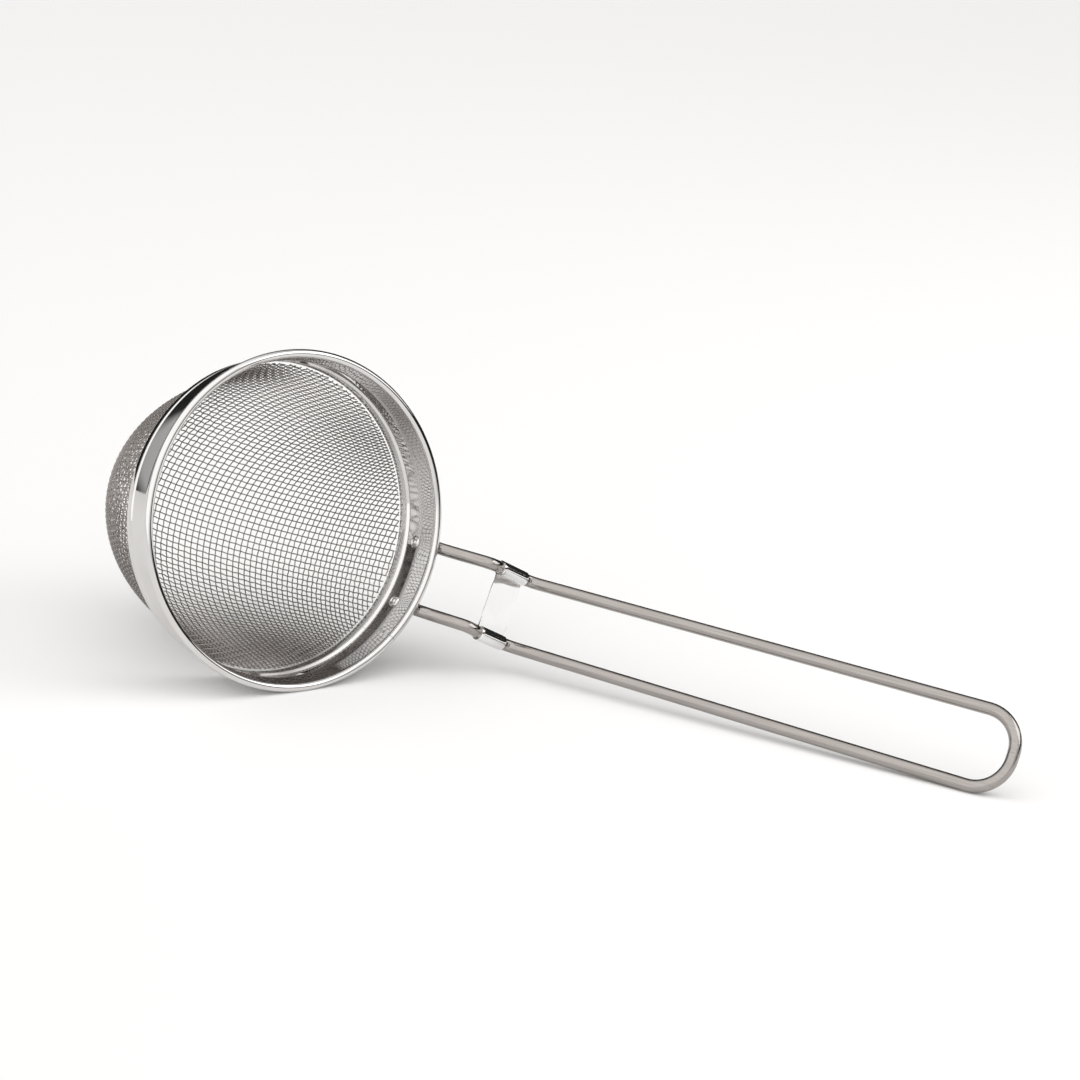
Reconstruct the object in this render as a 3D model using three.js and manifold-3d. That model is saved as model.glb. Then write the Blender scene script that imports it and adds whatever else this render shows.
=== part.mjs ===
// Stainless tea strainer: a deep woven-wire bowl in a rolled rim, on one long bent-wire handle.
// Millimetres, +Z up. Every sub-part is built in the bowl's own frame and the whole strainer is then
// laid down on the surface z = 0, where it rests on its bead, on the lip below it and on its handle.
//
// Bowl frame: origin at the centre of the mouth, +Z out of the mouth, +X towards the handle.

import * as THREE from 'three';
import { mergeVertices } from 'three/addons/utils/BufferGeometryUtils.js';
import Module from 'manifold-3d';

const wasm = await Module();
wasm.setup();

// ---- driving dimensions -------------------------------------------------------------------------
const rimRadius = 40;            // outside of the rolled bead
const beadRadius = 1.0;          // outside of the bead's own section
const sheet = 0.4;               // thickness of the band's strip
const wallOuterRadius = 37.7;    // straight wall of the band
const wallTop = -5.3;            // where the wall starts to flare out to the bead
const wallBottom = -10.2;        // where the wall steps in to its lower lip
const lipOuterRadius = 37.4;     // lower lip that holds the edge of the mesh
const lipBottom = -13.4;
const seamAngle = -25.5;         // butt joint of the band, degrees from +X
const seamWidth = 0.12;

const meshThickness = 0.7;       // two wire diameters
const meshOuterRadius = 36.8;    // at the edge that the band holds
const bowlRadius = 33.5;         // half width of the ellipsoid that the bowl follows
const bowlFlare = 2.7;           // how much wider it is at the shoulder
const flareDepth = 8;            // depth over which that fades
const bowlShoulder = -13.8;      // where the bowl leaves the band
const bowlBottom = -65.8;        // outside of the bowl's lowest point

const wireRadius = 1.5;
const legFoot = [38.75, -5.4];   // [outward, up] in the bowl frame, as for every place along the handle
const legHeel = [39.88, -2.35];
const legKnee = [43.1, 0.8];
const legHump = [48.9, 10.7];
const heelBend = 4;              // bend radii at the wire's centre line
const kneeBend = 6;
const humpBend = 2.6;
const handleBend = 3.6;
const endBend = 7.2;
const legSpread = 7.9;           // half the distance between the legs at the rim
const bracketSpread = 8.3;       // half the distance between the wires in the bracket
const endSpread = 9.1;           // half the distance between the wires at the far end
const bracketStart = [53.0, 7.6];
const bracketEnd = [63.6, 6.6];
const handleRise = 61.7;         // angle of the handle above the plane of the mouth, degrees
const handleLength = 128;        // from the bend after the bracket to the middle of the end
const sleeveOuter = 2.0;
const sleeveInner = 1.6;
const webThickness = 0.7;
const sleeveSetBack = [0.9, 2.3]; // from the bends at the bracket's two ends

const rivetHeight = -6.0;
const rivetShank = 0.8;
const rivetHeadRadius = 1.5;
const rivetHeadHeight = 0.7;
const padThickness = 1.4;        // the flattened foot of each leg
const padTopRadius = 1.75;
const padBottomRadius = 2.2;
const footClearance = 0.3;       // between the foot and the band

const clearance = 0.2;           // between neighbouring pieces
const ringSegments = 60;
const upWhenLying = new THREE.Vector3(-0.4259, 0.8842, 0.1918);

// ---- materials ----------------------------------------------------------------------------------
const polished = new THREE.MeshStandardMaterial({ color: 0xd9d8d6, roughness: 0.12, metalness: 1 });
const brushed = new THREE.MeshStandardMaterial({ color: 0xbdb8b2, roughness: 0.38, metalness: 1 });
const woven = new THREE.MeshStandardMaterial({ color: 0xb4b0ab, roughness: 0.3, metalness: 1 });
const plainWire = new THREE.MeshStandardMaterial({ color: 0x9c9a98, roughness: 0.45, metalness: 1 });

// ---- solids and booleans ------------------------------------------------------------------------
const radians = THREE.MathUtils.degToRad;

function merged(geometry) {
  geometry.deleteAttribute('normal');
  geometry.deleteAttribute('uv');
  return mergeVertices(geometry, 1e-4);
}

function solid(geometry) {
  const g = merged(geometry);
  const vertProperties = new Float32Array(g.attributes.position.array);
  const triVerts = new Uint32Array(g.index.array);
  return new wasm.Manifold(new wasm.Mesh({ numProp: 3, vertProperties, triVerts }));
}

function fromSolid(manifold) {
  const mesh = manifold.getMesh();
  const g = new THREE.BufferGeometry();
  g.setAttribute('position', new THREE.BufferAttribute(new Float32Array(mesh.vertProperties), 3));
  g.setIndex(new THREE.BufferAttribute(new Uint32Array(mesh.triVerts), 1));
  g.computeVertexNormals();
  return g;
}

function part(name, geometry, material) {
  const mesh = new THREE.Mesh(geometry, material);
  mesh.name = name;
  return mesh;
}

// A ring about the bowl's axis, from a closed outline of [radius, height] pairs.
function ring(outline) {
  const points = outline.map(([r, z]) => new THREE.Vector2(r, z));
  points.push(points[0].clone());
  return new THREE.LatheGeometry(points, ringSegments).rotateX(Math.PI / 2);
}

// Points on an arc in the ring's section, angles in degrees from the outward direction.
function sectionArc(centreRadius, centreHeight, radius, from, to, steps) {
  return Array.from({ length: steps + 1 }, (_, i) => {
    const a = radians(from + (to - from) * i / steps);
    return [centreRadius + radius * Math.cos(a), centreHeight + radius * Math.sin(a)];
  });
}

// A radial pin at an angle round the rim, as a lathe profile of [radius, distance from axis] pairs.
function radialPin(profile, segments, angle) {
  const points = profile.map(([r, x]) => new THREE.Vector2(r, x));
  const pin = new THREE.LatheGeometry(points, segments);
  return pin.rotateZ(-Math.PI / 2).translate(0, 0, rivetHeight).rotateZ(angle);
}

const legAngle = Math.asin(legSpread / (wallOuterRadius + footClearance + padThickness / 2));

// ---- rim band: wall, flare and rolled bead in one strip, closed by a butt seam --------------------
function rimBand() {
  const beadCentre = rimRadius - beadRadius;
  const wallInner = wallOuterRadius - sheet;
  const lipInner = lipOuterRadius - sheet;
  const flareMeetsBead = [beadCentre - 0.62, -beadRadius * 0.86];
  const curlStart = 205;
  const curlEnd = -118;
  const outline = [
    [lipInner, lipBottom],
    [lipOuterRadius, lipBottom],
    [lipOuterRadius, wallBottom - sheet],
    [wallOuterRadius, wallBottom],
    [wallOuterRadius, wallTop - sheet / 2],
    flareMeetsBead,
    ...sectionArc(beadCentre, 0, beadRadius - sheet, curlStart, curlEnd, 8),
    ...sectionArc(beadCentre, 0, beadRadius, curlEnd, curlStart, 10),
    [wallInner, wallTop],
    [wallInner, wallBottom + sheet / 2],
    [lipInner, wallBottom - sheet / 2],
  ];
  const seamCut = new THREE.BoxGeometry(8, seamWidth, 30).translate(wallOuterRadius, 0, -5);
  seamCut.rotateZ(radians(seamAngle));
  let band = solid(ring(outline)).subtract(solid(seamCut));
  for (const side of [1, -1]) {
    const hole = [[0, 34], [rivetShank + 0.1, 34], [rivetShank + 0.1, 39], [0, 39]];
    band = band.subtract(solid(radialPin(hole, 16, side * legAngle)));
  }
  return part('rim_band', fromSolid(band), polished);
}

// The wire that the strip is rolled round.
function rimCoreWire() {
  const coreRadius = beadRadius - sheet - clearance;
  const section = sectionArc(rimRadius - beadRadius, 0, coreRadius, 0, 360 - 45, 7);
  return part('rim_core_wire', merged(ring(section)), plainWire);
}

// The ring inside the mesh's edge that clamps it to the band's lip.
function clampRing() {
  const outer = meshOuterRadius - meshThickness - clearance;
  const top = wallBottom - 0.5;
  const bottom = lipBottom + 0.5;
  const middle = (top + bottom) / 2;
  const outline = [
    [outer, bottom],
    [outer, top],
    [outer - 0.5, top + 0.1],
    [outer - 0.35, middle],
    [outer - 0.5, bottom - 0.1],
  ];
  return part('clamp_ring', merged(ring(outline)), polished);
}

// ---- mesh bowl: a thin shell that stands for the woven cloth --------------------------------------
function meshBowl() {
  const edgeTop = wallBottom - 1.2;
  const rings = 13;
  const flank = (radius, depth) => Array.from({ length: rings + 1 }, (_, i) => {
    const a = (i / rings) * Math.PI / 2;
    const z = depth * Math.sin(a);
    return [(radius + bowlFlare * Math.exp(-z / flareDepth)) * Math.cos(a), bowlShoulder - z];
  });
  const depth = bowlShoulder - bowlBottom;
  const outside = flank(bowlRadius, depth);
  const inside = flank(bowlRadius - meshThickness, depth - meshThickness).reverse();
  outside[rings][0] = 0;
  inside[0][0] = 0;
  const outline = [
    ...inside,
    [meshOuterRadius - meshThickness, lipBottom + 0.3],
    [meshOuterRadius - meshThickness, edgeTop],
    [meshOuterRadius, edgeTop],
    [meshOuterRadius, lipBottom + 0.3],
    ...outside,
  ];
  const points = outline.reverse().map(([r, z]) => new THREE.Vector2(r, z));
  const shell = new THREE.LatheGeometry(points, 48).rotateX(Math.PI / 2);
  return part('mesh_bowl', fromSolid(solid(shell)), woven);
}

// ---- handle: one wire, bent from rim to rim -------------------------------------------------------
// Straight runs between corners, each corner rounded with its own bend radius.
function bentWirePath(corners) {
  const path = new THREE.CurvePath();
  let from = corners[0].at;
  for (let i = 1; i < corners.length - 1; i++) {
    const { at, bend } = corners[i];
    const back = corners[i - 1].at.clone().sub(at).normalize();
    const ahead = corners[i + 1].at.clone().sub(at).normalize();
    const reach = bend / Math.tan(back.angleTo(ahead) / 2);
    const arcStart = at.clone().addScaledVector(back, reach);
    const arcEnd = at.clone().addScaledVector(ahead, reach);
    path.add(new THREE.LineCurve3(from, arcStart));
    path.add(new THREE.QuadraticBezierCurve3(arcStart, at, arcEnd));
    from = arcEnd;
  }
  path.add(new THREE.LineCurve3(from, corners[corners.length - 1].at));
  return path;
}

function corner([x, z], y, bend) {
  return { at: new THREE.Vector3(x, y, z), bend };
}

function handleCorners() {
  const rise = radians(handleRise);
  const endX = bracketEnd[0] + handleLength * Math.cos(rise);
  const endZ = bracketEnd[1] + handleLength * Math.sin(rise);
  const oneSide = (side) => [
    corner(legFoot, side * legSpread, 0),
    corner(legHeel, side * legSpread, heelBend),
    corner(legKnee, side * legSpread, kneeBend),
    corner(legHump, side * (legSpread + 0.2), humpBend),
    corner(bracketStart, side * bracketSpread, humpBend),
    corner(bracketEnd, side * bracketSpread, handleBend),
    corner([endX, endZ], side * endSpread, endBend),
  ];
  return [...oneSide(1), ...oneSide(-1).reverse()];
}

function handleWire() {
  const path = bentWirePath(handleCorners());
  const section = new THREE.Shape().absarc(0, 0, wireRadius, 0, 2 * Math.PI, false);
  const stepLength = 3.2;
  const steps = Math.round(path.getLength() / stepLength);
  const options = { steps, curveSegments: 6, extrudePath: path, bevelEnabled: false };
  let wire = solid(new THREE.ExtrudeGeometry(section, options));
  for (const side of [1, -1]) {
    wire = wire.add(solid(footPad(side))).subtract(solid(footHole(side)));
  }
  return part('handle_wire', fromSolid(wire), brushed);
}

// The flattened foot of each leg, which lies against the outside of the band.
function footPad(side) {
  const outline = new THREE.Shape();
  outline.absarc(0, rivetHeight - 0.1, padTopRadius, 0, Math.PI, false);
  outline.absarc(0, rivetHeight - 1, padBottomRadius, Math.PI, 2 * Math.PI, false);
  const options = { depth: padThickness, curveSegments: 6, bevelEnabled: false };
  const pad = new THREE.ExtrudeGeometry(outline, options);
  const innerFace = wallOuterRadius + footClearance;
  return pad.rotateX(Math.PI / 2).rotateZ(Math.PI / 2).translate(innerFace, 0, 0).rotateZ(side * legAngle);
}

function footHole(side) {
  const hole = [[0, 37], [rivetShank + 0.1, 37], [rivetShank + 0.1, 40], [0, 40]];
  return radialPin(hole, 16, side * legAngle);
}

// Rivet: a low domed head inside the band, a shank through band and foot, closed flush outside.
function rivet(name, side) {
  const headFace = wallOuterRadius - sheet - clearance;
  const tail = wallOuterRadius + footClearance + padThickness;
  const profile = [
    [0, headFace - rivetHeadHeight],
    [rivetHeadRadius * 0.55, headFace - rivetHeadHeight * 0.85],
    [rivetHeadRadius, headFace - rivetHeadHeight * 0.35],
    [rivetHeadRadius, headFace],
    [rivetShank, headFace],
    [rivetShank, tail],
    [0, tail],
  ];
  const pin = radialPin(profile, 16, side * legAngle);
  return part(name, fromSolid(solid(pin)), polished);
}

// ---- bracket: a sheet clip with a flat web between two sleeves -------------------------------------
function bracketGeometry() {
  const meet = Math.asin(webThickness / 2 / sleeveOuter);
  const outline = new THREE.Shape();
  outline.absarc(bracketSpread, 0, sleeveOuter, Math.PI + meet, 3 * Math.PI - meet, false);
  outline.absarc(-bracketSpread, 0, sleeveOuter, meet, 2 * Math.PI - meet, false);
  for (const side of [1, -1]) {
    const hole = new THREE.Path().absarc(side * bracketSpread, 0, sleeveInner, 0, 2 * Math.PI, true);
    outline.holes.push(hole);
  }
  const dx = bracketEnd[0] - bracketStart[0];
  const dz = bracketEnd[1] - bracketStart[1];
  const run = Math.hypot(dx, dz);
  const depth = run - sleeveSetBack[0] - sleeveSetBack[1];
  const options = { depth, curveSegments: 10, bevelEnabled: false };
  const clip = new THREE.ExtrudeGeometry(outline, options).translate(0, 0, sleeveSetBack[0]);
  clip.applyMatrix4(new THREE.Matrix4().makeBasis(
    new THREE.Vector3(0, 1, 0),
    new THREE.Vector3(-dz / run, 0, dx / run),
    new THREE.Vector3(dx / run, 0, dz / run),
  ));
  return clip.translate(bracketStart[0], 0, bracketStart[1]);
}

function bracket() {
  return part('handle_bracket', fromSolid(solid(bracketGeometry())), polished);
}

// ---- assembly -------------------------------------------------------------------------------------
const strainer = new THREE.Group();
strainer.add(rimBand(), rimCoreWire(), clampRing(), meshBowl());
strainer.add(handleWire(), bracket(), rivet('rivet_upper', 1), rivet('rivet_lower', -1));

// Lay the strainer down: the given direction of the bowl frame points up, and the handle runs along +X.
function layDown(group) {
  const up = upWhenLying.clone().normalize();
  const rise = radians(handleRise);
  const along = new THREE.Vector3(Math.cos(rise), 0, Math.sin(rise));
  along.addScaledVector(up, -along.dot(up)).normalize();
  const across = new THREE.Vector3().crossVectors(up, along);
  const basis = new THREE.Matrix4().makeBasis(along, across, up);
  group.quaternion.setFromRotationMatrix(basis.transpose());
  group.updateMatrixWorld(true);
  const box = new THREE.Box3().setFromObject(group, true);
  const middle = box.getCenter(new THREE.Vector3());
  group.position.set(-middle.x, -middle.y, -box.min.z);
}
layDown(strainer);

export default strainer;
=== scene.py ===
"""Tea strainer lying on a pale table: woven steel bowl, rolled rim and one long bent-wire handle.

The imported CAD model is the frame. Its nodes are replaced by finished pieces that are built in the
bowl's own frame (millimetres, origin at the middle of the mouth, +Z out of the mouth, +X towards the
handle) and then placed in the row frame in metres.
"""
import math

import bpy
import numpy as np
from mathutils import Matrix, Vector


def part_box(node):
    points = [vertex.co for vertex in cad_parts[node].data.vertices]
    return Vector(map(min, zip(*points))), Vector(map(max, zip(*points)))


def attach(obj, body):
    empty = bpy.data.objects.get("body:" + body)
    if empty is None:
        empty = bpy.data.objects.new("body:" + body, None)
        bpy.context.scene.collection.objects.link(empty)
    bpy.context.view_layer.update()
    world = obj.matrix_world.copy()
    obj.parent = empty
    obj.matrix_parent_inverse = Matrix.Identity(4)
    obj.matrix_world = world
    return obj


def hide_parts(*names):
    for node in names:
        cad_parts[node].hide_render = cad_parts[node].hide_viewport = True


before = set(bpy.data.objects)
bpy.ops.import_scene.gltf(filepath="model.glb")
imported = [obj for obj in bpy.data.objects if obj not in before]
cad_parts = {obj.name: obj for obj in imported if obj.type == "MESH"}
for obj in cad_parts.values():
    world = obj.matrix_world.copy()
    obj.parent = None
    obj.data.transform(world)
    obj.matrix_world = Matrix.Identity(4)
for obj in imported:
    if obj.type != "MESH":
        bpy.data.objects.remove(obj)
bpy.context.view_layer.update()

# ---- driving dimensions, millimetres in the bowl's frame -----------------------------------------
MM = 0.001
RIM_RADIUS = 40.0
BEAD_RADIUS = 1.0
SHEET = 0.4
WALL_RADIUS = 37.5               # middle of the band's sheet
WALL_TAPER = 0.17                # how much wider than that at the wall's bottom, and narrower at its top
WALL_TOP = -4.6
WALL_BOTTOM = -10.2
LIP_RADIUS = 37.2
LIP_BOTTOM = -13.3
SEAM_ANGLE = -25.5               # degrees from +X
SEAM_GAP = 0.12
BAND_SEGMENTS = 300
RING_SEGMENTS = 240

CLOTH_EDGE = -12.6               # where the cloth ends, at the clamp ring
CLOTH_EDGE_RADIUS = 36.3
CLOTH_RADIUS = 33.17             # half width of the ellipsoid that the middle of the cloth follows
CLOTH_FLARE = 2.7                # how much wider it is at the shoulder
FLARE_DEPTH = 8.0                # depth over which that fades
CLOTH_SHOULDER = -13.8
CLOTH_BOTTOM = -65.45
CLOTH_PITCH = 1.6
CLOTH_WIRE = 0.145               # radius
CLOTH_TURN = 2.0                 # of the weave against the handle, degrees
NET_TOP = -4.0                   # the net's two middle wires run on past the cloth's edge, up to here
NET_PAST_EDGE = 4.0              # its other wires run on this far
MOST_CROSSINGS = 60              # on one wire, from the bottom of the bowl to one side
MIDDLE_WIRES = 9                 # each side of the bowl's centre, in the middle piece of each set

WIRE_RADIUS = 1.5
LEG_FOOT = (37.9, -9.0)          # bottom of the flattened foot, as (outward, up), like the bends below
LEG_HEEL = (37.9, -5.0)
LEG_KNEE = (43.1, 0.8)
LEG_HUMP = (49.3, 10.1)
BRACKET_START = (52.6, 8.1)
BRACKET_END = (63.6, 6.6)
LEG_SPREAD = 7.9                 # half the distance between the two wires, at the rim
BRACKET_SPREAD = 8.3             # the same at the clip
END_SPREAD = 9.1                 # and at the far end
HANDLE_RISE = 61.7               # degrees above the plane of the mouth
HANDLE_LENGTH = 128.0
HEEL_BEND = 3.0                  # bend radii at the wire's middle
KNEE_BEND = 6.0
HUMP_BEND = 3.0
START_BEND = 3.0
HANDLE_BEND = 3.8
END_BEND = 8.3
WIRE_STEP = 0.22                 # between the wire's sections
WIRE_SIDES = 32
PAD_HALF_WIDTH = 2.15            # of the flattened foot
PAD_HALF_THICKNESS = 0.68
PAD_GAP = 0.12                   # between the foot and the band
FOOT_REACH = 12.0                # the flattening ends within this length of wire
POLISH_ENDS = -0.014             # metres along the row frame's X, by the clip
POLISH_FADE = 0.006              # metres to each side of that

SLEEVE_OUTER = 1.84
SLEEVE_INNER = 1.54
SLEEVE_FROM = 0.3                # from the bends at the clip's two ends
SLEEVE_TO = 2.3
WEB_OVERHANG = 0.3               # of the web's middle past the sleeves at each end
WEB_DISH = 0.1
WEB_DISH_WIDTH = 3.2
CRIMP_PAST_BEND = 0.4            # middle of the dent, along the handle from its bend
CRIMP_HALF_LENGTH = 0.33
CRIMP_HALF_WIDTH = 0.8

RIVET_HEIGHT = -6.0
RIVET_SHANK = 0.8
RIVET_SIDES = 40
FOOT_RADIUS = 38.7               # from the bowl's axis to the middle of the foot
RIVET_ANGLE = math.degrees(math.asin(LEG_SPREAD / FOOT_RADIUS))
DENT_DEPTH = 0.16                # of the wall round each rivet
DENT_REACH = 1.9

UP_WHEN_LYING = Vector((-0.4259, 0.8842, 0.1918))

# The camera looks at a point on the table, in the row frame.
VIEW_AT = Vector((-0.06574, 0.13973, 0.0))
VIEW_DISTANCE = 0.79408
VIEW_HEADING = 117.717           # direction of sight about +Z, from +X
VIEW_DOWN = 16.2
VIEW_ROLL = 5.029
VIEW_LENS = 93.33                # on the 36 mm sensor


# ---- placing and making meshes -------------------------------------------------------------------
def bowl_to_row():
    """The matrix from the bowl's frame in millimetres to the row frame in metres."""
    up = UP_WHEN_LYING.normalized()
    rise = math.radians(HANDLE_RISE)
    along = Vector((math.cos(rise), 0, math.sin(rise)))
    along = (along - along.dot(up) * up).normalized()
    across = up.cross(along)
    low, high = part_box("rim_core_wire")
    turn = Matrix((along, across, up)).to_4x4()
    return Matrix.Translation((low + high) / 2) @ turn @ Matrix.Scale(MM, 4)


PLACE = np.array(bowl_to_row())


def make_piece(name, verts, faces, material, node, smooth_angle=40):
    """A finished piece from vertices in the bowl's frame, standing for a CAD node."""
    verts = np.asarray(verts, float)
    world = verts @ PLACE[:3, :3].T + PLACE[:3, 3]
    mesh = bpy.data.meshes.new(name)
    mesh.from_pydata(world.tolist(), [], [list(f) for f in faces])
    mesh.validate()
    mesh.update()
    mesh.shade_smooth()
    if smooth_angle:
        mesh.set_sharp_from_angle(angle=math.radians(smooth_angle))
    mesh.materials.append(material)
    piece = bpy.data.objects.new(name, mesh)
    bpy.context.scene.collection.objects.link(piece)
    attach(piece, "root")
    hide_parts(node)


def grid_faces(rows, columns):
    """Quads between consecutive closed rows of points."""
    faces = []
    for i in range(rows - 1):
        for j in range(columns):
            a = i * columns + j
            b = i * columns + (j + 1) % columns
            faces.append((a, b, b + columns, a + columns))
    return faces


def end_caps(rows, columns):
    """One face on the first row of points and one on the last."""
    total = rows * columns
    return [tuple(range(columns - 1, -1, -1)), tuple(range(total - columns, total))]


def arc(centre, radius, start, end, steps):
    """Points on an arc in a plane, angles in degrees."""
    angles = np.radians(np.linspace(start, end, steps + 1))
    return [(centre[0] + radius * math.cos(a), centre[1] + radius * math.sin(a)) for a in angles]


def filleted(corners, steps=6):
    """A 2-D line through (x, y, bend radius) corners, with each corner rounded."""
    points = [np.array(corners[0][:2], float)]
    for before, here, after in zip(corners, corners[1:], corners[2:]):
        at = np.array(here[:2], float)
        back = np.array(before[:2]) - at
        ahead = np.array(after[:2]) - at
        back = back / np.linalg.norm(back)
        ahead = ahead / np.linalg.norm(ahead)
        half = math.acos(np.clip(back @ ahead, -1, 1)) / 2
        reach = here[2] / math.tan(half)
        start, end = at + back * reach, at + ahead * reach
        for t in np.linspace(0, 1, steps + 1):
            points.append((1 - t) ** 2 * start + 2 * t * (1 - t) * at + t ** 2 * end)
    points.append(np.array(corners[-1][:2], float))
    return [tuple(p) for p in points]


def sheet_outline(centre_line, thickness):
    """The closed outline of a bent sheet from the middle of its thickness."""
    line = np.array(centre_line, float)
    keep = [0] + [i for i in range(1, len(line)) if np.linalg.norm(line[i] - line[i - 1]) > 1e-3]
    line = line[keep]
    tangent = np.gradient(line, axis=0)
    tangent /= np.linalg.norm(tangent, axis=1)[:, None]
    normal = np.stack([-tangent[:, 1], tangent[:, 0]], 1)
    half = thickness / 2
    left = line + normal * half
    right = line - normal * half
    ends = []
    for k, sign in ((-1, 1), (0, -1)):
        across = normal[k] * sign
        out = tangent[k] * sign
        turn = np.radians([60, 30, 0, -30, -60])
        ends.append([line[k] + half * (across * math.sin(a) + out * math.cos(a)) for a in turn])
    return [*left, *ends[0], *right[::-1], *ends[1]]


def lathe(outline, segments, start=0.0, sweep=360.0):
    """A ring about the bowl's axis. A sweep under 360 degrees leaves a gap between two capped ends."""
    whole = sweep >= 360
    count = segments if whole else segments + 1
    angles = np.radians(start + sweep * np.arange(count) / segments)
    section = np.array(outline, float)
    verts = [(r * math.cos(a), r * math.sin(a), z) for a in angles for r, z in section]
    n = len(section)
    faces = grid_faces(count, n)
    if whole:
        faces += [(i + n * (count - 1), (i + 1) % n + n * (count - 1), (i + 1) % n, i) for i in range(n)]
    else:
        faces += end_caps(count, n)
    return np.array(verts), faces


def outward(verts, faces):
    """The faces, turned round if the closed body they make is inside out."""
    volume = 0.0
    for f in faces:
        for b, c in zip(f[1:], f[2:]):
            volume += np.dot(verts[f[0]], np.cross(verts[b], verts[c]))
    return faces if volume > 0 else [tuple(reversed(f)) for f in faces]


# ---- materials -----------------------------------------------------------------------------------
def new_material(name, color, roughness):
    material = bpy.data.materials.new(name)
    material.use_nodes = True
    shader = material.node_tree.nodes["Principled BSDF"]
    shader.inputs["Base Color"].default_value = (*color, 1)
    shader.inputs["Metallic"].default_value = 1.0
    shader.inputs["Roughness"].default_value = roughness
    return material, material.node_tree, shader


def add_noise(tree, scale, detail=3.0, stretch=(1, 1, 1)):
    """Noise in the row frame, stretched along its axes."""
    where = tree.nodes.new("ShaderNodeTexCoord")
    mapping = tree.nodes.new("ShaderNodeMapping")
    mapping.inputs["Scale"].default_value = stretch
    noise = tree.nodes.new("ShaderNodeTexNoise")
    noise.inputs["Scale"].default_value = scale
    noise.inputs["Detail"].default_value = detail
    tree.links.new(where.outputs["Object"], mapping.inputs["Vector"])
    tree.links.new(mapping.outputs["Vector"], noise.inputs["Vector"])
    return noise


def add_range(tree, source, low, high, start=0.3, end=0.7):
    """Maps start..end, by default the middle of a noise's range, to low..high."""
    change = tree.nodes.new("ShaderNodeMapRange")
    change.inputs["From Min"].default_value = start
    change.inputs["From Max"].default_value = end
    change.inputs["To Min"].default_value = low
    change.inputs["To Max"].default_value = high
    tree.links.new(source, change.inputs["Value"])
    return change.outputs["Result"]


def add_tint(tree, shader, factor, first, second):
    """Colour that drifts between two tints."""
    mix = tree.nodes.new("ShaderNodeMix")
    mix.data_type = "RGBA"
    mix.inputs["A"].default_value = (*first, 1)
    mix.inputs["B"].default_value = (*second, 1)
    tree.links.new(factor, mix.inputs["Factor"])
    tree.links.new(mix.outputs["Result"], shader.inputs["Base Color"])


def add_bump(tree, shader, height, strength, distance):
    bump = tree.nodes.new("ShaderNodeBump")
    bump.inputs["Strength"].default_value = strength
    bump.inputs["Distance"].default_value = distance
    tree.links.new(height, bump.inputs["Height"])
    tree.links.new(bump.outputs["Normal"], shader.inputs["Normal"])


STEEL_TINTS = ((0.72, 0.71, 0.705), (0.64, 0.62, 0.605))
# The clip's tints are a lighter copy of the steel's: a painted highlight that stands in for the bright
# reflection on its web.
CLIP_TINTS_PAINTED_BRIGHT = ((0.92, 0.92, 0.92), (0.82, 0.815, 0.81))


def polished_steel(name, roughness, tints):
    """Bright rolled sheet: faint waviness and smudges."""
    material, tree, shader = new_material(name, tints[0], roughness[0])
    smudge = add_noise(tree, 160, 4)
    tree.links.new(add_range(tree, smudge.outputs["Fac"], *roughness), shader.inputs["Roughness"])
    add_tint(tree, shader, smudge.outputs["Fac"], *tints)
    waves = add_noise(tree, 90, 1.5)
    add_bump(tree, shader, waves.outputs["Fac"], 0.08, 0.0004)
    return material


def brushed_wire():
    """Satin wire with fine lines along the handle; the legs, nearer the bowl, are polished."""
    material, tree, shader = new_material("brushed_wire", (0.6, 0.57, 0.55), 0.3)
    where = tree.nodes.new("ShaderNodeTexCoord")
    split = tree.nodes.new("ShaderNodeSeparateXYZ")
    tree.links.new(where.outputs["Object"], split.inputs["Vector"])
    along = add_range(tree, split.outputs["X"], 0, 1, POLISH_ENDS - POLISH_FADE, POLISH_ENDS + POLISH_FADE)
    lines = add_noise(tree, 2600, 3, stretch=(0.02, 1, 1))
    satin = add_range(tree, lines.outputs["Fac"], 0.13, 0.22)
    mix = tree.nodes.new("ShaderNodeMix")
    mix.inputs["A"].default_value = 0.1
    tree.links.new(along, mix.inputs["Factor"])
    tree.links.new(satin, mix.inputs["B"])
    tree.links.new(mix.outputs["Result"], shader.inputs["Roughness"])
    add_tint(tree, shader, lines.outputs["Fac"], (0.27, 0.245, 0.23), (0.44, 0.415, 0.395))
    add_bump(tree, shader, lines.outputs["Fac"], 0.3, 0.00005)
    return material


def woven_wire():
    """Drawn wire of the cloth, slightly dull, with a warm tarnish that drifts over the bowl."""
    material, tree, shader = new_material("woven_wire", (0.27, 0.245, 0.23), 0.16)
    drift = add_noise(tree, 60, 3)
    add_tint(tree, shader, drift.outputs["Fac"], (0.22, 0.195, 0.18), (0.36, 0.335, 0.32))
    grain = add_noise(tree, 5000, 2)
    tree.links.new(add_range(tree, grain.outputs["Fac"], 0.12, 0.26), shader.inputs["Roughness"])
    return material


def plain_wire():
    """The dull wire inside the bead."""
    material, tree, shader = new_material("plain_wire", (0.6, 0.59, 0.58), 0.45)
    grain = add_noise(tree, 900, 3)
    tree.links.new(add_range(tree, grain.outputs["Fac"], 0.36, 0.52), shader.inputs["Roughness"])
    return material


POLISHED = polished_steel("polished_steel", (0.025, 0.07), STEEL_TINTS)
RIVET_STEEL = polished_steel("rivet_steel", (0.06, 0.14), STEEL_TINTS)
# The clip's steel is painted lighter than the band's: a painted highlight for its bright web.
CLIP_STEEL_PAINTED_BRIGHT = polished_steel("clip_steel_painted_bright", (0.05, 0.12), CLIP_TINTS_PAINTED_BRIGHT)
BRUSHED = brushed_wire()
WOVEN = woven_wire()
PLAIN = plain_wire()


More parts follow.
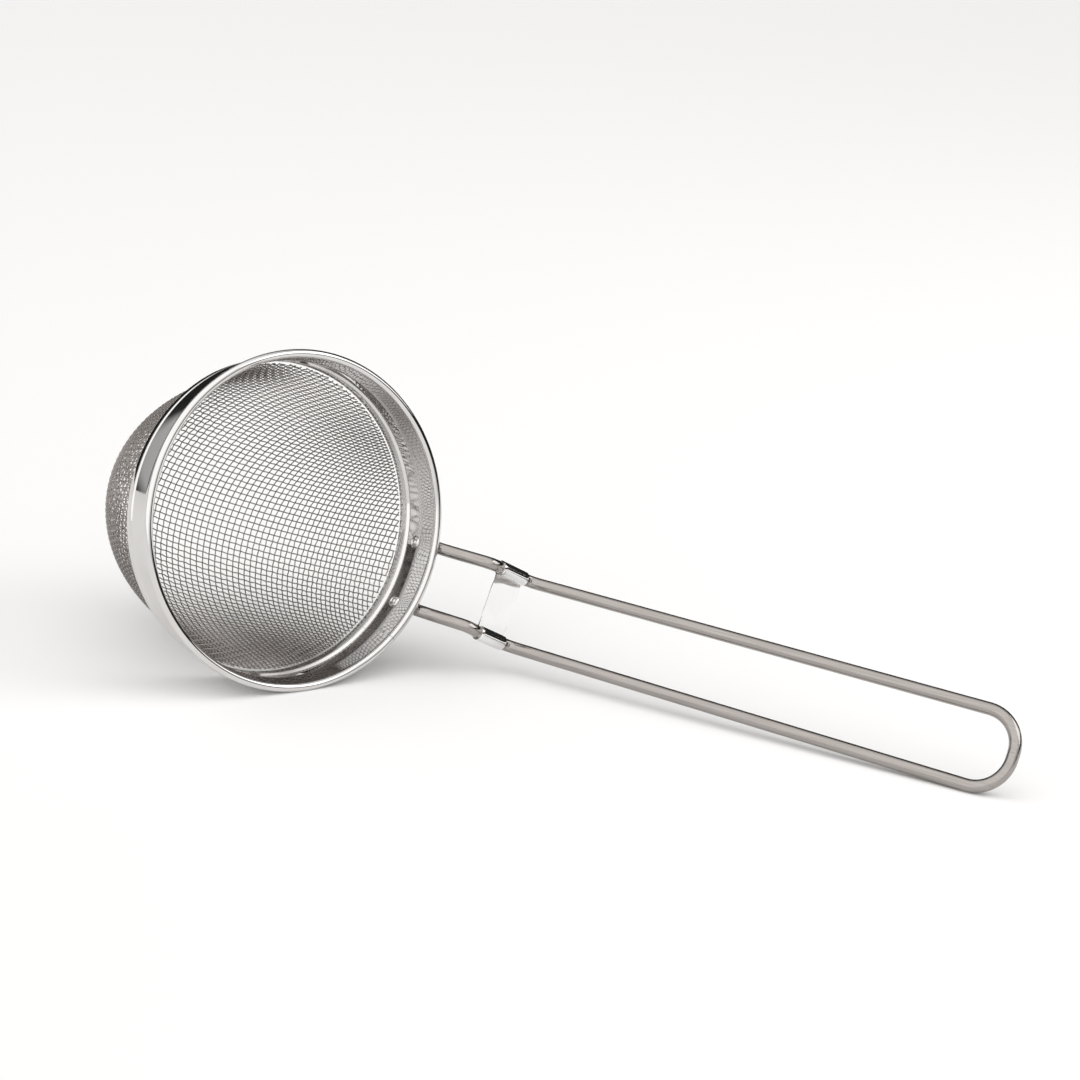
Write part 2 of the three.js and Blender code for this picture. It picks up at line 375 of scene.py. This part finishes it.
# ---- rim band, clamp ring and rivets -------------------------------------------------------------
def band_centre_line():
    """Middle of the strip's thickness, from the edge of the lip up to the bead's free edge."""
    bead = (RIM_RADIUS - BEAD_RADIUS, 0)
    bead_middle = BEAD_RADIUS - SHEET / 2
    curl = arc(bead, bead_middle, 212, -116, 40)
    lower = filleted([
        (LIP_RADIUS, LIP_BOTTOM, 0),
        (LIP_RADIUS, LIP_BOTTOM + 1.35, 0.25),
        (LIP_RADIUS + 0.2, LIP_BOTTOM + 1.75, 0.3),
        (LIP_RADIUS - 0.16, LIP_BOTTOM + 2.3, 0.22),
        (LIP_RADIUS - 0.16, WALL_BOTTOM - 0.3, 0.2),
        (WALL_RADIUS + WALL_TAPER, WALL_BOTTOM + 0.3, 0.3),
        (WALL_RADIUS - WALL_TAPER, WALL_TOP, 5.0),
        (curl[0][0] - 0.06, curl[0][1] - 0.34, 0.22),
        curl[0],
    ])
    return lower[:-1] + curl


def rim_band():
    gap = math.degrees(SEAM_GAP / RIM_RADIUS)
    outline = sheet_outline(band_centre_line(), SHEET)
    verts, faces = lathe(outline, BAND_SEGMENTS, SEAM_ANGLE + gap / 2, 360 - gap)
    verts = dented(verts)
    make_piece("rim_band", verts, outward(verts, faces), POLISHED, "rim_band")


def dented(verts):
    """The wall pulled a little outwards round each rivet, as riveting leaves it."""
    radius = np.hypot(verts[:, 0], verts[:, 1])
    angle = np.arctan2(verts[:, 1], verts[:, 0])
    for side in (1, -1):
        along = (angle - side * math.radians(RIVET_ANGLE)) * WALL_RADIUS
        away = np.hypot(along, verts[:, 2] - RIVET_HEIGHT)
        pull = DENT_DEPTH * np.exp(-(away / DENT_REACH) ** 2) * (radius < WALL_RADIUS + 0.5)
        verts[:, 0] += pull * np.cos(angle)
        verts[:, 1] += pull * np.sin(angle)
    return verts


def clamp_ring():
    """The thin ring that holds the cloth's edge, with a groove above its lower edge."""
    outer = LIP_RADIUS - SHEET / 2 - 0.05
    inner = outer - 0.3
    top = WALL_BOTTOM - 0.35
    bottom = LIP_BOTTOM + 0.4
    middle = (top + bottom) / 2
    outline = filleted([
        (outer, middle, 0),
        (outer, bottom, 0.05),
        (inner, bottom, 0.1),
        (inner + 0.12, bottom + 0.4, 0.08),
        (inner, bottom + 0.8, 0.15),
        (inner + 0.16, top, 0.1),
        (outer, top, 0.05),
        (outer, middle, 0),
    ], 4)[:-1]
    verts, faces = lathe(outline, RING_SEGMENTS)
    make_piece("clamp_ring", verts, outward(verts, faces), POLISHED, "clamp_ring")


def rivet(name, side):
    """A low domed head with a ring pressed round it, a shank, and a flattened tail outside the foot."""
    head_face = WALL_RADIUS - SHEET / 2 + 0.05
    tail_face = WALL_RADIUS + SHEET / 2 + 0.2 + 2 * PAD_HALF_THICKNESS
    profile = filleted([
        (head_face - 0.66, 0, 0),
        (head_face - 0.6, 0.42, 0.12),
        (head_face - 0.3, 0.7, 0.1),
        (head_face - 0.62, 1.02, 0.14),
        (head_face - 0.32, 1.5, 0.25),
        (head_face, 1.62, 0.05),
        (head_face, RIVET_SHANK, 0.02),
        (tail_face - 0.05, RIVET_SHANK, 0.02),
        (tail_face, 1.25, 0.05),
        (tail_face + 0.22, 1.0, 0.12),
        (tail_face + 0.3, 0, 0),
    ], 5)
    turn = math.radians(side * RIVET_ANGLE)
    outward_axis = np.array([math.cos(turn), math.sin(turn), 0])
    sideways = np.array([-math.sin(turn), math.cos(turn), 0])
    upward = np.array([0, 0, 1.0])
    middle = upward * RIVET_HEIGHT
    verts = []
    for out, radius in profile[1:-1]:
        for a in 2 * math.pi * np.arange(RIVET_SIDES) / RIVET_SIDES:
            spoke = sideways * math.cos(a) + upward * math.sin(a)
            verts.append(middle + outward_axis * out + radius * spoke)
    rows = len(profile) - 2
    faces = grid_faces(rows, RIVET_SIDES)
    for row, at in ((0, profile[0]), (rows - 1, profile[-1])):
        verts.append(middle + outward_axis * at[0])
        tip = len(verts) - 1
        ring = [row * RIVET_SIDES + j for j in range(RIVET_SIDES)]
        for a, b in zip(ring, ring[1:] + ring[:1]):
            faces.append((tip, b, a) if row == 0 else (tip, a, b))
    verts = np.array(verts)
    make_piece(name, verts, outward(verts, faces), RIVET_STEEL, name)


# ---- woven bowl ----------------------------------------------------------------------------------
def cloth_radius(z):
    """Radius of the middle of the cloth at a height above the shoulder, and its slope."""
    room = CLOTH_EDGE_RADIUS - CLOTH_RADIUS - CLOTH_FLARE
    rate = CLOTH_FLARE / FLARE_DEPTH / room
    left = room * math.exp(-(z - CLOTH_SHOULDER) * rate)
    return CLOTH_EDGE_RADIUS - left, left * rate


def half_width(w):
    """Half width of the ellipsoid at a depth w under the shoulder, and its slope with depth."""
    flare = CLOTH_FLARE * np.exp(-w / FLARE_DEPTH)
    return CLOTH_RADIUS + flare, -flare / FLARE_DEPTH


def cloth_surface(p):
    """How far p is outside the cloth, roughly in millimetres, and the gradient of that."""
    x, y, z = p
    depth = CLOTH_SHOULDER - CLOTH_BOTTOM
    if z < CLOTH_SHOULDER:
        w = CLOTH_SHOULDER - z
        half, slope = half_width(w)
        value = (x * x + y * y) / half ** 2 + (w / depth) ** 2 - 1
        down = 2 * w / depth ** 2 - 2 * (x * x + y * y) * slope / half ** 3
        return value * half / 2, np.array([x / half, y / half, -down * half / 2])
    radius, slope = cloth_radius(z)
    r = math.hypot(x, y)
    return r - radius, np.array([x / r, y / r, -slope])


def next_crossing(a, b, c):
    """The crossing one pitch from both a and b, on the far side from c."""
    p = a + b - c
    for _ in range(8):
        value, gradient = cloth_surface(p)
        da, db = p - a, p - b
        error = np.array([da @ da - CLOTH_PITCH ** 2, db @ db - CLOTH_PITCH ** 2, value])
        step = np.linalg.lstsq(np.array([2 * da, 2 * db, gradient]), error, rcond=None)[0]
        length = np.linalg.norm(step)
        p = p - step * min(1.0, 0.8 / max(length, 1e-9))
        if length < 1e-7:
            break
    return p


def meridian():
    """Crossings one pitch apart from the bottom of the bowl up its flank, as (radius, height)."""
    depth = CLOTH_SHOULDER - CLOTH_BOTTOM
    a = np.linspace(0, math.pi / 2, 3000)
    radius = list(half_width(depth * np.cos(a))[0] * np.sin(a))
    height = list(CLOTH_SHOULDER - depth * np.cos(a))
    for z in np.linspace(CLOTH_SHOULDER, NET_TOP, 60)[1:]:
        radius.append(cloth_radius(z)[0])
        height.append(z)
    line = np.stack([radius, height], 1)
    length = np.concatenate([[0], np.cumsum(np.linalg.norm(np.diff(line, axis=0), axis=1))])
    at = np.arange(MOST_CROSSINGS) * CLOTH_PITCH
    at = at[at < length[-1]]
    return np.stack([np.interp(at, length, line[:, k]) for k in (0, 1)], 1)


def weave_net():
    """Crossings of one quarter of the cloth, each one pitch from its neighbours: {(i, j): point}."""
    beyond = CLOTH_EDGE + NET_PAST_EDGE
    net = {}
    for i, (r, z) in enumerate(meridian()):
        net[i, 0] = np.array([r, 0, z])
        net[0, i] = np.array([0, r, z])
    size = max(i for i, _ in net) + 1
    for i in range(1, size):
        for j in range(1, size):
            a, b, c = (net.get(k) for k in ((i - 1, j), (i, j - 1), (i - 1, j - 1)))
            if a is None or b is None or c is None or max(a[2], b[2]) > beyond:
                continue
            net[i, j] = next_crossing(a, b, c)
    return net


def wire_line(net, index, along_y):
    """One wire's crossings from rim to rim, clipped at the cloth's edge, with their numbers."""
    points, numbers = [], []
    for side in (-1, 1):
        run = []
        for k in range(0 if side == 1 else 1, MOST_CROSSINGS):
            key = (abs(index), k) if along_y else (k, abs(index))
            if key not in net:
                break
            x, y, z = net[key]
            across = 1 if index >= 0 else -1
            p = np.array([x * across, y * side, z]) if along_y else np.array([x * side, y * across, z])
            if z > CLOTH_EDGE:
                if run:
                    q = run[-1][0]
                    t = (CLOTH_EDGE - q[2]) / (z - q[2])
                    run.append((q + (p - q) * t, (k - 1 + t) * side))
                break
            run.append((p, k * side))
        if side == -1:
            run.reverse()
        points += [p for p, _ in run]
        numbers += [n for _, n in run]
    return np.array(points), np.array(numbers)


def smooth_between(points, numbers, at):
    """Catmull-Rom points between the crossings."""
    slope = np.gradient(points, numbers, axis=0)
    k = np.clip(np.searchsorted(numbers, at, side="right") - 1, 0, len(numbers) - 2)
    span = (numbers[k + 1] - numbers[k])[:, None]
    t = ((at - numbers[k])[:, None]) / span
    h00, h10 = 2 * t ** 3 - 3 * t ** 2 + 1, t ** 3 - 2 * t ** 2 + t
    h01, h11 = -2 * t ** 3 + 3 * t ** 2, t ** 3 - t ** 2
    return h00 * points[k] + h10 * span * slope[k] + h01 * points[k + 1] + h11 * span * slope[k + 1]


def woven_tube(points, numbers, parity, sides=8, steps=4):
    """A round wire that runs over and under the wires it crosses."""
    first, last = numbers[0], numbers[-1]
    at = np.arange(math.ceil(first * steps), math.floor(last * steps) + 1) / steps
    at = np.unique(np.concatenate([[first], at, [last]]))
    keep = np.concatenate([[True], np.diff(at) > 0.04])
    at = at[keep]
    line = smooth_between(points, numbers, at)
    normal = np.array([cloth_surface(p)[1] for p in line])
    normal /= np.linalg.norm(normal, axis=1)[:, None]
    crimp = CLOTH_WIRE * 0.98 * np.cos(math.pi * at) * parity
    line = line + normal * crimp[:, None]
    tangent = np.gradient(line, axis=0)
    tangent /= np.linalg.norm(tangent, axis=1)[:, None]
    side = np.cross(tangent, normal)
    side /= np.linalg.norm(side, axis=1)[:, None]
    up = np.cross(side, tangent)
    turn = 2 * math.pi * np.arange(sides) / sides
    ring = side[:, None, :] * np.cos(turn)[None, :, None] + up[:, None, :] * np.sin(turn)[None, :, None]
    verts = (line[:, None, :] + CLOTH_WIRE * ring).reshape(-1, 3)
    return verts, grid_faces(len(line), sides) + end_caps(len(line), sides)


def woven_bowl():
    """The cloth: two sets of wires, each in three pieces from one side of the bowl to the other."""
    net = weave_net()
    size = max(i for i, _ in net)
    turn = math.radians(CLOTH_TURN)
    spin = np.array([[math.cos(turn), -math.sin(turn), 0], [math.sin(turn), math.cos(turn), 0], [0, 0, 1]])
    for set_name, along_y in (("warp", True), ("weft", False)):
        groups = {"near": [], "middle": [], "far": []}
        for index in range(-size, size + 1):
            points, numbers = wire_line(net, index, along_y)
            if len(points) < 3:
                continue
            parity = (1 if index % 2 == 0 else -1) * (1 if along_y else -1)
            group = "middle" if abs(index) <= MIDDLE_WIRES else ("far" if index > 0 else "near")
            groups[group].append(woven_tube(points, numbers, parity))
        for group, tubes in groups.items():
            verts, faces, offset = [], [], 0
            for tube_verts, tube_faces in tubes:
                verts.append(tube_verts)
                faces += [tuple(v + offset for v in f) for f in tube_faces]
                offset += len(tube_verts)
            verts = np.concatenate(verts) @ spin.T
            name = f"cloth_{set_name}_{group}"
            make_piece(name, verts, faces, WOVEN, "mesh_bowl", smooth_angle=0)


# ---- handle --------------------------------------------------------------------------------------
def handle_half_line():
    """Middle of the wire from one foot to the middle of the far end, as 3-D points."""
    rise = math.radians(HANDLE_RISE)
    end = (BRACKET_END[0] + HANDLE_LENGTH * math.cos(rise), BRACKET_END[1] + HANDLE_LENGTH * math.sin(rise))
    corners = [
        (LEG_FOOT, LEG_SPREAD, 0),
        (LEG_HEEL, LEG_SPREAD, HEEL_BEND),
        (LEG_KNEE, LEG_SPREAD + 0.1, KNEE_BEND),
        (LEG_HUMP, LEG_SPREAD + 0.2, HUMP_BEND),
        (BRACKET_START, BRACKET_SPREAD, START_BEND),
        (BRACKET_END, BRACKET_SPREAD, HANDLE_BEND),
        (end, END_SPREAD, END_BEND),
        (end, 0, 0),
    ]
    at = [np.array([x, y, z]) for (x, z), y, _ in corners]
    pieces = [at[0]]
    for k in range(1, len(at) - 1):
        back, ahead = at[k - 1] - at[k], at[k + 1] - at[k]
        back /= np.linalg.norm(back)
        ahead /= np.linalg.norm(ahead)
        half = math.acos(np.clip(back @ ahead, -1, 1)) / 2
        radius = corners[k][2]
        reach = radius / math.tan(half)
        middle = (back + ahead) / np.linalg.norm(back + ahead)
        centre = at[k] + middle * radius / math.sin(half)
        start, finish = at[k] + back * reach - centre, at[k] + ahead * reach - centre
        sweep = math.pi - 2 * half
        for t in np.linspace(0, 1, 15):
            weight_a = math.sin((1 - t) * sweep) / math.sin(sweep)
            weight_b = math.sin(t * sweep) / math.sin(sweep)
            pieces.append(centre + weight_a * start + weight_b * finish)
    pieces.append(at[-1])
    return np.array(pieces)


def evenly(line, step):
    """The line again with points a step apart, keeping its shape."""
    length = np.concatenate([[0], np.cumsum(np.linalg.norm(np.diff(line, axis=0), axis=1))])
    count = round(length[-1] / step)
    at = np.linspace(0, length[-1], count + 1)
    return np.stack([np.interp(at, length, line[:, k]) for k in range(3)], 1), at


def room_at_band(point):
    """Space between a point of the wire's middle and the outside of the band's wall, flare and bead."""
    r, z = math.hypot(point[0], point[1]), point[2]
    wall = r - (WALL_RADIUS + SHEET / 2)
    flare_top = np.array([RIM_RADIUS - 1.6, -0.9])
    flare_foot = np.array([WALL_RADIUS + SHEET / 2, WALL_TOP])
    along = flare_top - flare_foot
    t = np.clip(((np.array([r, z]) - flare_foot) @ along) / (along @ along), 0, 1)
    flare = np.linalg.norm(np.array([r, z]) - flare_foot - t * along)
    bead = math.hypot(r - RIM_RADIUS + BEAD_RADIUS, z) - BEAD_RADIUS
    return min(flare, bead, wall) if z < WALL_TOP else min(flare, bead)


def handle_wire():
    line, at = evenly(handle_half_line(), WIRE_STEP)
    tangent = np.gradient(line, axis=0)
    tangent /= np.linalg.norm(tangent, axis=1)[:, None]
    foot_turn = math.radians(RIVET_ANGLE)
    normal = np.array([math.cos(foot_turn), math.sin(foot_turn), 0])
    turn = 2 * math.pi * np.arange(WIRE_SIDES) / WIRE_SIDES
    rings = []
    for k, (point, way) in enumerate(zip(line, tangent)):
        normal = normal - way * (normal @ way)
        normal /= np.linalg.norm(normal)
        side = np.cross(normal, way)
        width, thickness, corner = foot_section(point, at[k])
        c, s = np.cos(turn), np.sin(turn)
        c = np.sign(c) * np.abs(c) ** corner
        s = np.sign(s) * np.abs(s) ** corner
        rings.append(point + np.outer(c * width, side) + np.outer(s * thickness, normal))
    mirrored = [ring * np.array([1, -1, 1]) for ring in reversed(rings[:-1])]
    verts = np.concatenate(rings + mirrored)
    rows = len(rings) + len(mirrored)
    faces = grid_faces(rows, WIRE_SIDES) + end_caps(rows, WIRE_SIDES)
    verts = crimped(verts)
    faces = outward(verts, faces)
    make_piece("handle_wire", verts, faces, BRUSHED, "handle_wire", smooth_angle=0)


def foot_section(point, distance):
    """Half width, half thickness and squareness of the wire at a distance from the foot's end."""
    room = np.clip(room_at_band(point) - PAD_GAP, PAD_HALF_THICKNESS, WIRE_RADIUS)
    flat = (WIRE_RADIUS - room) / (WIRE_RADIUS - PAD_HALF_THICKNESS)
    if distance > FOOT_REACH:
        flat, room = 0.0, WIRE_RADIUS
    width = WIRE_RADIUS + (PAD_HALF_WIDTH - WIRE_RADIUS) * flat
    corner = 1 - 0.45 * flat
    if distance < PAD_HALF_WIDTH:
        away = 1 - distance / PAD_HALF_WIDTH
        width *= math.sqrt(max(1 - away ** 2, 0.01))
        room *= math.sqrt(max(1 - away ** 6, 0.1))
    return width, room, corner


def crimped(verts):
    """Two small punched dents, one after the other along each wire, just past the clip."""
    rise = math.radians(HANDLE_RISE)
    along = np.array([math.cos(rise), 0, math.sin(rise)])
    face = np.array([-math.sin(rise), 0, math.cos(rise)])
    for side in (1, -1):
        bend = np.array([BRACKET_END[0], side * BRACKET_SPREAD, BRACKET_END[1]])
        place = verts - (bend + CRIMP_PAST_BEND * along)
        forward, across, up = place @ along, place[:, 1], place @ face
        for offset, depth in ((-0.55, 0.6), (0.55, 0.5)):
            reach = ((forward - offset) / CRIMP_HALF_LENGTH) ** 2 + (across / CRIMP_HALF_WIDTH) ** 2
            push = depth * np.exp(-reach) * (up > 0)
            verts = verts - push[:, None] * face
    return verts


# ---- bracket -------------------------------------------------------------------------------------
def clip_outline():
    """Section of the clip across the wires: one strip curled round both, its ends closing on the web."""
    radius = (SLEEVE_OUTER + SLEEVE_INNER) / 2
    left = arc((-BRACKET_SPREAD, 0), radius, 16, 346, 44)
    right = arc((BRACKET_SPREAD, 0), radius, 194, 524, 44)
    low = left[-1][1]
    line = [*left, (-BRACKET_SPREAD + radius + 0.5, low - 0.02)]
    line += [(y, low) for y in np.linspace(-BRACKET_SPREAD + radius + 1, BRACKET_SPREAD - radius - 1, 20)]
    line += [(BRACKET_SPREAD - radius - 0.5, low - 0.02), *right]
    return sheet_outline(line, SLEEVE_OUTER - SLEEVE_INNER)


def handle_bracket():
    """The clip's section swept along the wires. The web is dished, and a little longer than the sleeves."""
    start = np.array([BRACKET_START[0], 0, BRACKET_START[1]])
    end = np.array([BRACKET_END[0], 0, BRACKET_END[1]])
    run = np.linalg.norm(end - start)
    along = (end - start) / run
    across = np.array([0, 1, 0])
    face = np.cross(along, across)
    section = np.array(clip_outline())
    web = np.clip(1 - (np.abs(section[:, 0]) / (BRACKET_SPREAD - SLEEVE_OUTER)) ** 6, 0, 1)
    rings = []
    for t in np.linspace(0, 1, 25):
        at = SLEEVE_FROM + t * (run - SLEEVE_FROM - SLEEVE_TO)
        overhang = -WEB_OVERHANG * web * (1 - 2 * t)
        dish = WEB_DISH * web * math.sin(math.pi * t) * np.cos(section[:, 0] / WEB_DISH_WIDTH)
        edge = 0.05 * (abs(2 * t - 1) ** 20)
        lift = (section[:, 1] - dish) * (1 - edge)
        ring = np.outer(at + overhang, along) + np.outer(section[:, 0], across) + np.outer(lift, face)
        rings.append(start + ring)
    verts = np.concatenate(rings)
    count = len(section)
    faces = grid_faces(len(rings), count)
    last = count * (len(rings) - 1)
    half = count // 2
    for k in range(half - 1):
        quad = (k, k + 1, count - 2 - k, count - 1 - k)
        faces.append(quad)
        faces.append(tuple(last + v for v in reversed(quad)))
    faces = outward(verts, faces)
    make_piece("handle_bracket", verts, faces, CLIP_STEEL_PAINTED_BRIGHT, "handle_bracket")


# ---- table, light and camera ---------------------------------------------------------------------
def add_floor():
    mesh = bpy.data.meshes.new("floor")
    reach = 3.0
    corners = [(-reach, -reach, 0), (reach, -reach, 0), (reach, reach, 0), (-reach, reach, 0)]
    mesh.from_pydata(corners, [], [(0, 1, 2, 3)])
    floor = bpy.data.objects.new("floor", mesh)
    bpy.context.scene.collection.objects.link(floor)
    material = bpy.data.materials.new("pale_table")
    material.use_nodes = True
    shader = material.node_tree.nodes["Principled BSDF"]
    shader.inputs["Base Color"].default_value = (0.94, 0.937, 0.932, 1)
    shader.inputs["Roughness"].default_value = 0.9
    shader.inputs["Specular IOR Level"].default_value = 0.1
    mesh.materials.append(material)


def add_window():
    """A soft light on the handle's side, which throws the bowl's shadow away from the handle."""
    light = bpy.data.lights.new("window", "AREA")
    light.shape = "RECTANGLE"
    light.size = 0.9
    light.size_y = 0.8
    light.energy = 4.0
    lamp = bpy.data.objects.new("window", light)
    lamp.location = (0.85, 0.4, 0.7)
    aim = Vector((0, 0, 0.03))
    lamp.rotation_euler = (lamp.location - aim).to_track_quat("Z", "Y").to_euler()
    bpy.context.scene.collection.objects.link(lamp)


def add_world():
    """A studio that is bright in front and overhead and dim behind; seen directly it is plain and pale."""
    world = bpy.data.worlds.new("studio")
    world.use_nodes = True
    bpy.context.scene.world = world
    tree = world.node_tree
    background = tree.nodes["Background"]
    background.inputs["Strength"].default_value = 1.0
    where = tree.nodes.new("ShaderNodeTexCoord")
    front_and_up = tree.nodes.new("ShaderNodeVectorMath")
    front_and_up.operation = "DOT_PRODUCT"
    front_and_up.inputs[1].default_value = (0, -0.7, 0.71)
    tree.links.new(where.outputs["Generated"], front_and_up.inputs[0])
    ramp = tree.nodes.new("ShaderNodeValToRGB")
    stops = [(0.0, 0.02), (0.05, 0.03), (0.1, 0.5), (0.3, 0.62), (0.5, 1.03), (0.7, 1.48), (1.0, 1.42)]
    elements = ramp.color_ramp.elements
    while len(elements) < len(stops):
        elements.new(0.5)
    for element, (position, value) in zip(elements, stops):
        element.position = position
        element.color = (value, value * 0.995, value * 0.99, 1)
    tree.links.new(front_and_up.outputs["Value"], ramp.inputs["Fac"])
    plain = tree.nodes.new("ShaderNodeBackground")
    plain.inputs["Color"].default_value = (0.93, 0.93, 0.93, 1)
    path = tree.nodes.new("ShaderNodeLightPath")
    mix = tree.nodes.new("ShaderNodeMixShader")
    tree.links.new(ramp.outputs["Color"], background.inputs["Color"])
    tree.links.new(path.outputs["Is Camera Ray"], mix.inputs["Fac"])
    tree.links.new(background.outputs["Background"], mix.inputs[1])
    tree.links.new(plain.outputs["Background"], mix.inputs[2])
    tree.links.new(mix.outputs["Shader"], tree.nodes["World Output"].inputs["Surface"])


def add_camera():
    heading, down = math.radians(VIEW_HEADING), math.radians(VIEW_DOWN)
    level_part = math.cos(down)
    sight = Vector((math.cos(heading) * level_part, math.sin(heading) * level_part, -math.sin(down)))
    data = bpy.data.cameras.new("camera")
    data.lens = VIEW_LENS
    data.clip_start = 0.01
    camera = bpy.data.objects.new("camera", data)
    level = sight.to_track_quat("-Z", "Y").to_matrix()
    roll = Matrix.Rotation(math.radians(VIEW_ROLL), 3, "Z")
    camera.matrix_world = Matrix.Translation(VIEW_AT - sight * VIEW_DISTANCE) @ (level @ roll).to_4x4()
    bpy.context.scene.collection.objects.link(camera)
    bpy.context.scene.camera = camera


rim_band()
clamp_ring()
rivet("rivet_upper", 1)
rivet("rivet_lower", -1)
woven_bowl()
handle_wire()
handle_bracket()

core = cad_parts["rim_core_wire"]
core.data.materials.clear()
core.data.materials.append(PLAIN)

add_floor()
add_window()
add_world()
add_camera()
bpy.context.scene.view_settings.view_transform = "Standard"
